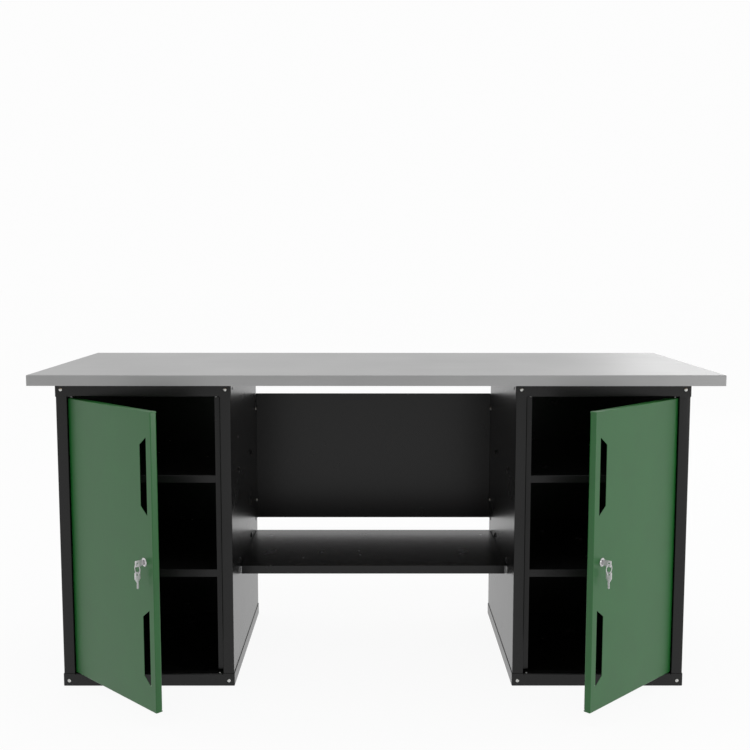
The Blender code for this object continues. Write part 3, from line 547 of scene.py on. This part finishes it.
def place_knee_fasteners():
    """Bolts and nuts of the middle shelf, and screws of the back panel."""
    low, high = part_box("left_base_tray")
    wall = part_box("left_inner_wall")[1].x - low.x
    shelf_low, shelf_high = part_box("middle_shelf")
    bolt_row = shelf_high.z - MIDDLE_BOLT_DROP
    bolt_places = [y - front for y in (shelf_low.y + MIDDLE_BOLTS_FROM_SHELF_END,
                                       shelf_high.y - MIDDLE_BOLTS_FROM_SHELF_END)]
    face = wall + FIT + SHEET + SEAT
    panel_row = high.y - low.y - PANEL_SCREW_FROM_BACK
    fasten("panel_screw", screw_mesh("panel_screw", *PANEL_SCREW), "zinc_plate",
           [((face, panel_row, z), (1, 0, 0)) for z in PANEL_SCREW_HEIGHTS])
    fasten("middle_bolt", as_mesh("middle_bolt", dome(*MIDDLE_BOLT)), "black_zinc_plate",
           [((face, y, bolt_row), (1, 0, 0)) for y in bolt_places])
    fasten("middle_nut", nut_mesh("middle_nut", *MIDDLE_NUT), "black_zinc_plate",
           [((wall - SHEET - SEAT, y, bolt_row), (-1, 0, 0)) for y in bolt_places])


def place_rivets():
    """Rivets that close the pivot holes on the side where the door isn't hung."""
    low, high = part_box("left_base_tray")
    inward = high.x - low.x - RIVET_INSET
    cap_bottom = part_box("left_top_cap")[0].z
    fasten("pivot_rivet", as_mesh("pivot_rivet", dome(*PIVOT_RIVET)), "zinc_plate",
           [((inward, RIVET_FROM_FRONT, high.z + SEAT), (0, 0, 1)),
            ((inward, RIVET_FROM_FRONT, cap_bottom - SEAT), (0, 0, -1))])


# Lock and keys

def rosette_mesh():
    """Lock housing: a polished rosette with a wide bevel, and the barrel behind it."""
    brim, lip = ROSETTE_BRIM, ROSETTE_LIP
    profile = [(BORE_RADIUS, -BARREL_LENGTH), (BARREL_RADIUS, -BARREL_LENGTH), (BARREL_RADIUS, FIT),
               (ROSETTE_RADIUS, FIT), (ROSETTE_RADIUS, FIT + brim),
               (ROSETTE_RADIUS - lip, FIT + 2 * brim),
               (ROSETTE_FLAT_RADIUS + lip, ROSETTE_HEIGHT - lip / 2),
               (ROSETTE_FLAT_RADIUS, ROSETTE_HEIGHT), (BORE_RADIUS + lip, ROSETTE_HEIGHT),
               (BORE_RADIUS, ROSETTE_HEIGHT - lip)]
    return as_mesh("rosette", lathe(profile, steps=64, closed=True))


def key_outline():
    """Key in the plane of its blade, from its hole towards its tip along +x."""
    outer = -KEY_HOLE_FROM_END
    inner = outer + KEY_BOW_LENGTH
    bow, shoulder, blade = KEY_BOW_WIDTH / 2, KEY_SHOULDER_WIDTH / 2, KEY_BLADE_WIDTH / 2
    corner = KEY_BOW_CORNER
    taper = inner + KEY_SHOULDER_TAPER
    root = inner + KEY_SHOULDER_LENGTH
    tip = root + KEY_BLADE_LENGTH
    pitch = (KEY_BLADE_LENGTH - KEY_BLADE_WIDTH) / (KEY_BIT_COUNT + 1)
    outline = arc((outer + corner, bow - corner), corner, 90, 180)
    outline += arc((outer + corner, corner - bow), corner, 180, 270)
    outline += arc((inner - corner, corner - bow), corner, 270, 360)
    outline += [(taper, -shoulder), (root, -shoulder), (root, -blade), (tip - blade, -blade),
                (tip, 0.0), (tip - blade, blade)]
    for index in range(KEY_BIT_COUNT):
        bit = tip - blade - pitch * (index + BIT_START)
        outline += [(bit, blade), (bit - BIT_SLOPE_END * pitch, blade - KEY_BIT_DEPTH),
                    (bit - BIT_FLOOR_END * pitch, blade - KEY_BIT_DEPTH)]
    outline += [(root + pitch, blade), (root, blade), (root, shoulder), (taper, shoulder)]
    outline += arc((inner - corner, bow - corner), corner, 0, 90)
    return outline


def flat_plate(outlines, thickness, edge):
    """Shape of a flat plate from closed outlines, the later ones holes, with its edges broken."""
    curve = bpy.data.curves.new("plate", "CURVE")
    curve.dimensions = "2D"
    curve.fill_mode = "BOTH"
    curve.extrude = thickness / 2 - edge
    curve.bevel_depth = edge
    curve.bevel_resolution = 1
    curve.offset = -edge
    for outline in outlines:
        spline = curve.splines.new("POLY")
        spline.points.add(len(outline) - 1)
        for point, (x, y) in zip(spline.points, outline):
            point.co = (x, y, 0.0, 1.0)
        spline.use_cyclic_u = True
    holder = bpy.data.objects.new("plate", curve)
    bpy.context.scene.collection.objects.link(holder)
    mesh = evaluated_mesh(holder)
    bpy.data.objects.remove(holder, do_unlink=True)
    shape = bmesh.new()
    shape.from_mesh(mesh)
    bpy.data.meshes.remove(mesh)
    bmesh.ops.remove_doubles(shape, verts=shape.verts, dist=WELD_DISTANCE)
    bmesh.ops.recalc_face_normals(shape, faces=shape.faces)
    return shape


def key_mesh():
    """Cut key with a sunk field in its bow and a groove along its blade, both faces alike.

    Its hole is at the origin, its blade runs along +x and its thickness along z.
    """
    hole = arc((0.0, 0.0), KEY_HOLE_RADIUS, 360, 360 / KEY_HOLE_STEPS, steps=KEY_HOLE_STEPS - 1)
    shoulder = KEY_BOW_LENGTH - KEY_HOLE_FROM_END
    field_start, field_end = FIELD_START * KEY_HOLE_RADIUS, FIELD_END * shoulder
    field = FIELD_HALF_WIDTH * KEY_BOW_WIDTH
    groove_end = shoulder + KEY_SHOULDER_LENGTH + GROOVE_REACH * KEY_BLADE_LENGTH
    groove_low, groove_high = GROOVE_LOW * KEY_BLADE_WIDTH, GROOVE_HIGH * KEY_BLADE_WIDTH
    face = KEY_THICKNESS / 2
    cuts = bmesh.new()
    for low, high in ((face - KEY_RELIEF, 2 * face), (-2 * face, KEY_RELIEF - face)):
        add_block(cuts, (field_start, -field, low), (field_end, field, high))
        add_block(cuts, (shoulder, groove_low, low), (groove_end, groove_high, high))
    return combined("key", flat_plate([key_outline(), hole], KEY_THICKNESS, KEY_EDGE), cuts)


def split_ring_mesh(radius):
    """Key ring coiled of flat wire, hanging from its origin in the plane y = 0."""
    shape = bmesh.new()
    rings = []
    last = RING_TURNS * RING_STEPS
    half_width, half_height = WIRE_HALF_WIDTH * RING_COIL, WIRE_HALF_HEIGHT * RING_COIL
    around = [2 * math.pi * side / RING_SIDES for side in range(RING_SIDES)]
    for index in range(last + 1):
        angle = 2 * math.pi * index / RING_STEPS
        outward = Vector((math.sin(angle), 0.0, math.cos(angle)))
        centre = radius * (outward - Vector((0.0, 0.0, 1.0)))
        centre.y = RING_COIL * (2 * index / last - 1)
        rings.append([shape.verts.new(centre + outward * half_width * math.cos(turn)
                                      + Vector((0.0, half_height * math.sin(turn), 0.0)))
                      for turn in around])
    for first, second in zip(rings, rings[1:]):
        for side in range(RING_SIDES):
            shape.faces.new((first[side - 1], first[side], second[side], second[side - 1]))
    shape.faces.new(rings[0])
    shape.faces.new(rings[-1])
    bmesh.ops.recalc_face_normals(shape, faces=shape.faces)
    return as_mesh("split_ring", shape)


def laid(place, along, across):
    """Matrix that puts a piece at a place with its x and y along two directions."""
    along, across = Vector(along), Vector(across)
    turn = Matrix((along, across, along.cross(across))).transposed().to_4x4()
    return Matrix.Translation(place) @ turn


def replace_node(side, node, name, mesh, slot, body, matrix):
    """Show a finer mesh in the place of one of the model's nodes."""
    piece = add_piece(f"{side}_{name}", mesh, slot, f"{side}_{body}", matrix)
    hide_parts(f"{side}_{node}")


def place_locks():
    """Finer housing, key, ring and spare key in the places of the model's own."""
    joints = {joint["name"]: joint for joint in frame["record"]["behaviour"]["joints"]}
    spots = {name: Vector(joint["pos_m"]) for name, joint in joints.items()}
    radius = (spots["left_ring_swing"].z - spots["left_hanging_key_swing"].z) / 2
    rosette, key, ring = rosette_mesh(), key_mesh(), split_ring_mesh(radius)
    up = Vector((0.0, 0.0, 1.0))
    for side in ("left", "right"):
        outward = Vector(joints[side + "_key_slide"]["axis"]).normalized()
        along = up.cross(outward)
        key_spot, ring_spot = spots[side + "_key_slide"], spots[side + "_ring_swing"]
        # The spare key hangs as low on the ring as the ring hangs in the key's hole
        spare_spot = spots[side + "_hanging_key_swing"] + ring_spot - key_spot
        replace_node(side, "lock_housing", "lock_rosette", rosette, "chrome_plate", "door",
                     laid(spots[side + "_lock_turn"], along, up))
        replace_node(side, "key", "cut_key", key, "nickel_plate", "main_key",
                     laid(key_spot, -outward, up))
        replace_node(side, "key_ring", "split_ring", ring, "nickel_plate", "ring",
                     laid(ring_spot, along, -outward))
        replace_node(side, "spare_key", "hung_key", key, "nickel_plate", "hanging_key",
                     laid(spare_spot, -up, outward))


# Studio

def make_world():
    """White where it is seen, and an even light on everything, weaker from the front."""
    world = bpy.data.worlds.new("studio")
    world.use_nodes = True
    bpy.context.scene.world = world
    tree = world.node_tree
    direction = tree.nodes.new("ShaderNodeTexCoord")
    parts = tree.nodes.new("ShaderNodeSeparateXYZ")
    tree.links.new(direction.outputs["Generated"], parts.inputs["Vector"])
    path = tree.nodes.new("ShaderNodeLightPath")
    plain = tree.nodes.new("ShaderNodeMath")
    plain.operation = "MAXIMUM"
    facing = remapped(tree, parts.outputs["Y"], low=FRONT_SHADE, high=1.0, start=-1.0, end=0.0)
    tree.links.new(facing, plain.inputs[0])
    tree.links.new(path.outputs["Is Camera Ray"], plain.inputs[1])
    strength = tree.nodes.new("ShaderNodeMath")
    strength.operation = "MULTIPLY"
    tree.links.new(plain.outputs[0], strength.inputs[0])
    level = remapped(tree, seen_directly(tree), low=DOME_LIGHT, high=BACKGROUND, start=0.0, end=1.0)
    tree.links.new(level, strength.inputs[1])
    background = tree.nodes["Background"]
    background.inputs["Color"].default_value = (1.0, 1.0, 1.0, 1.0)
    tree.links.new(strength.outputs[0], background.inputs["Strength"])


def make_floor():
    """Pale floor that glows for the camera and still keeps a soft shadow."""
    mesh = bpy.data.meshes.new("floor")
    shape = bmesh.new()
    bmesh.ops.create_grid(shape, x_segments=1, y_segments=1, size=FLOOR_REACH)
    shape.to_mesh(mesh)
    shape.free()
    floor = bpy.data.objects.new("floor", mesh)
    bpy.context.scene.collection.objects.link(floor)
    look = bpy.data.materials.new("floor")
    look.use_nodes = True
    tree = look.node_tree
    tree.nodes.remove(tree.nodes["Principled BSDF"])
    output = tree.nodes["Material Output"]
    matt = tree.nodes.new("ShaderNodeBsdfDiffuse")
    matt.inputs["Color"].default_value = (*FLOOR_COLOUR, 1.0)
    glow = tree.nodes.new("ShaderNodeEmission")
    mix = tree.nodes.new("ShaderNodeMixShader")
    share = remapped(tree, seen_directly(tree), low=0.0, high=FLOOR_GLOW, start=0.0, end=1.0)
    tree.links.new(share, mix.inputs["Fac"])
    tree.links.new(matt.outputs["BSDF"], mix.inputs[1])
    tree.links.new(glow.outputs["Emission"], mix.inputs[2])
    tree.links.new(mix.outputs["Shader"], output.inputs["Surface"])
    mesh.materials.append(look)


def softbox(name, place, target, width, height, power):
    """Area lamp aimed at a point, out of the camera's sight."""
    data = bpy.data.lights.new(name, "AREA")
    data.shape = "RECTANGLE"
    data.size = width
    data.size_y = height
    data.energy = power
    lamp = bpy.data.objects.new(name, data)
    lamp.location = place
    aim(lamp, target)
    lamp.visible_camera = False
    bpy.context.scene.collection.objects.link(lamp)


def light_studio():
    """Soft lamps: above, on the front right, low on the right, and high behind on the right."""
    softbox("overhead", place=(0.0, -0.6, 3.0), target=(0.0, 0.0, 0.6),
            width=2.4, height=1.2, power=10.0)
    softbox("front_right", place=(3.0, -3.8, 0.9), target=(0.0, 0.0, 0.4),
            width=1.6, height=1.0, power=9.0)
    softbox("right", place=(3.8, -1.28, 0.5), target=(-0.5, -0.45, 0.6),
            width=0.8, height=0.8, power=14.0)
    softbox("rear_right", place=(2.85, 4.6, 2.4), target=(0.6, 0.0, 0.8),
            width=2.2, height=1.4, power=19.0)


make_camera()
make_world()
make_floor()
light_studio()
dress_nodes()
place_shell_screws()
place_knee_fasteners()
place_rivets()
place_locks()

bpy.context.scene.view_settings.view_transform = "Standard"
